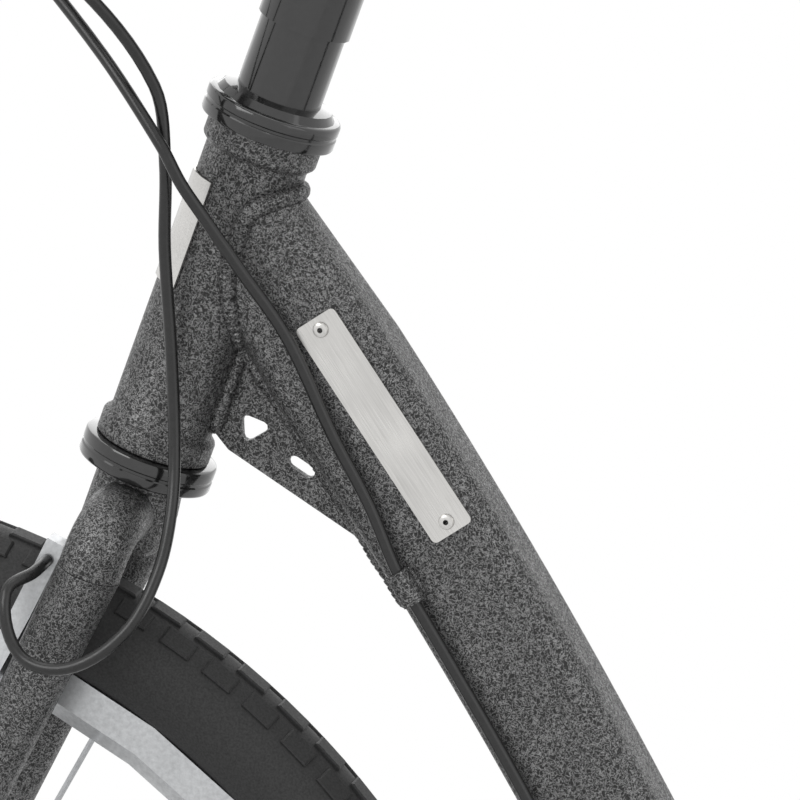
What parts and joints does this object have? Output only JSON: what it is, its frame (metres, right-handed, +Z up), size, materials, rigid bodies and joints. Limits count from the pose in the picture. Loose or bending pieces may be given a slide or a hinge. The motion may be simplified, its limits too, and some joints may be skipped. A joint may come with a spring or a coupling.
{
  "type": "kick bike",
  "caption": "Kick bike with spoked wheels, curved main tube, low footboard, rim brakes and a folding two-leg stand.",
  "frame": {"origin": "centre of the bounding box's bottom, on the floor", "axes": "-X is the front, -Y the rider's left, +Z up"},
  "size_m": [1.758, 0.5898, 1.0176],
  "materials": {
    "alloy": "satin",
    "black_gloss": "gloss",
    "black_satin": "satin",
    "brushed_steel": "brushed",
    "cable_housing": "satin",
    "grip_rubber": "matte",
    "silver_vein_coat": "speckled powder coat",
    "steel_zinc": "satin",
    "tyre_rubber": "matte"
  },
  "bodies": {
    "frame": {"cable_guide_lower": "silver_vein_coat", "cable_guide_upper": "silver_vein_coat", "deck_frame": "silver_vein_coat", "deck_grip": "grip_rubber", "footboard": "alloy", "gusset_plate": "silver_vein_coat", "head_badge": "brushed_steel", "head_tube": "silver_vein_coat", "lower_headset_bearing": "brushed_steel", "lower_headset_cup": "black_gloss", "main_tube": "silver_vein_coat", "name_plate": "brushed_steel", "plate_rivet_lower": "brushed_steel", "plate_rivet_upper": "brushed_steel", "rear_axle": "steel_zinc", "rear_brake_cable": "cable_housing", "rear_stay_left": "silver_vein_coat", "rear_stay_right": "silver_vein_coat", "upper_headset_bearing": "brushed_steel", "upper_headset_cup": "black_gloss"},
    "fork": {"fork_crown_steerer": "silver_vein_coat", "fork_leg_left": "silver_vein_coat", "fork_leg_right": "silver_vein_coat", "crown_race": "brushed_steel", "top_cover_spacer": "black_gloss", "stem": "black_satin", "stem_face_plate": "black_satin", "top_cap": "black_satin", "handlebar": "black_satin", "grip_left": "grip_rubber", "grip_right": "grip_rubber", "lever_mount_left": "black_satin", "lever_mount_right": "black_satin", "lever_pin_left": "steel_zinc", "lever_pin_right": "steel_zinc", "front_axle": "steel_zinc", "front_brake_cable": "cable_housing"},
    "front_wheel": {"front_rim": "black_satin", "front_tyre": "tyre_rubber", "front_hub_spokes": "brushed_steel", "front_bearing_left": "steel_zinc", "front_bearing_right": "steel_zinc"},
    "rear_wheel": {"rear_rim": "black_satin", "rear_tyre": "tyre_rubber", "rear_hub_spokes": "brushed_steel", "rear_bearing_left": "steel_zinc", "rear_bearing_right": "steel_zinc"},
    "lever_left": {"brake_lever_left": "alloy"},
    "lever_right": {"brake_lever_right": "alloy"},
    "stand": {"stand_legs": "black_satin", "stand_foot_left": "grip_rubber", "stand_foot_right": "grip_rubber"},
    "front_arm_left": {"front_brake_arm_left": "black_satin", "front_brake_pad_left": "grip_rubber"},
    "front_arm_right": {"front_brake_arm_right": "black_satin", "front_brake_pad_right": "grip_rubber"},
    "rear_arm_left": {"rear_brake_arm_left": "black_satin", "rear_brake_pad_left": "grip_rubber"},
    "rear_arm_right": {"rear_brake_arm_right": "black_satin", "rear_brake_pad_right": "grip_rubber"}
  },
  "joints": [
    {"name": "steering", "type": "hinge", "parent": "frame", "child": "fork", "pos_m": [-0.38178, 0, 0.67832], "axis": [0.342, 0, 0.9397], "range_deg": [-45, 45], "deforming": ["rear_brake_cable"]},
    {"name": "front_wheel_spin", "type": "hinge", "parent": "fork", "child": "front_wheel", "pos_m": [-0.549, 0, 0.33], "axis": [0, 1, 0], "continuous": true},
    {"name": "rear_wheel_spin", "type": "hinge", "parent": "frame", "child": "rear_wheel", "pos_m": [0.631, 0, 0.248], "axis": [0, 1, 0], "continuous": true},
    {"name": "stand_swing", "type": "hinge", "parent": "frame", "child": "stand", "pos_m": [0.324, 0, 0.064], "axis": [0, -1, 0], "range_deg": [0, 90]},
    {"name": "lever_left_squeeze", "type": "hinge", "parent": "fork", "child": "lever_left", "pos_m": [-0.42357, -0.1623, 0.97691], "axis": [-0.4985, -0.0762, 0.8635], "range_deg": [0, 18], "stiffness_Nm_per_rad": 0.5, "springref_deg": -5.73},
    {"name": "lever_right_squeeze", "type": "hinge", "parent": "fork", "child": "lever_right", "pos_m": [-0.42357, 0.1623, 0.97691], "axis": [0.4985, -0.0762, -0.8635], "range_deg": [0, 18], "stiffness_Nm_per_rad": 0.5, "springref_deg": -5.73},
    {"name": "front_arm_left_swing", "type": "hinge", "parent": "fork", "child": "front_arm_left", "pos_m": [-0.44591, -0.04466, 0.5691], "axis": [-0.8957, 0, 0.4447], "range_deg": [0, 1.8]},
    {"name": "front_arm_right_swing", "type": "hinge", "parent": "fork", "child": "front_arm_right", "pos_m": [-0.44591, 0.04466, 0.5691], "axis": [0.8957, 0, -0.4447], "range_deg": [0, 1.8]},
    {"name": "rear_arm_left_swing", "type": "hinge", "parent": "frame", "child": "rear_arm_left", "pos_m": [0.47391, -0.05008, 0.16369], "axis": [0.5216, 0, -0.8532], "range_deg": [0, 1.8]},
    {"name": "rear_arm_right_swing", "type": "hinge", "parent": "frame", "child": "rear_arm_right", "pos_m": [0.47391, 0.05008, 0.16369], "axis": [-0.5216, 0, 0.8532], "range_deg": [0, 1.8]}
  ],
  "couplings": [
    {"joint": "front_arm_left_swing", "follows": "lever_left_squeeze", "ratio": 0.1},
    {"joint": "front_arm_right_swing", "follows": "lever_left_squeeze", "ratio": 0.1},
    {"joint": "rear_arm_left_swing", "follows": "lever_right_squeeze", "ratio": 0.1},
    {"joint": "rear_arm_right_swing", "follows": "lever_right_squeeze", "ratio": 0.1}
  ]
}
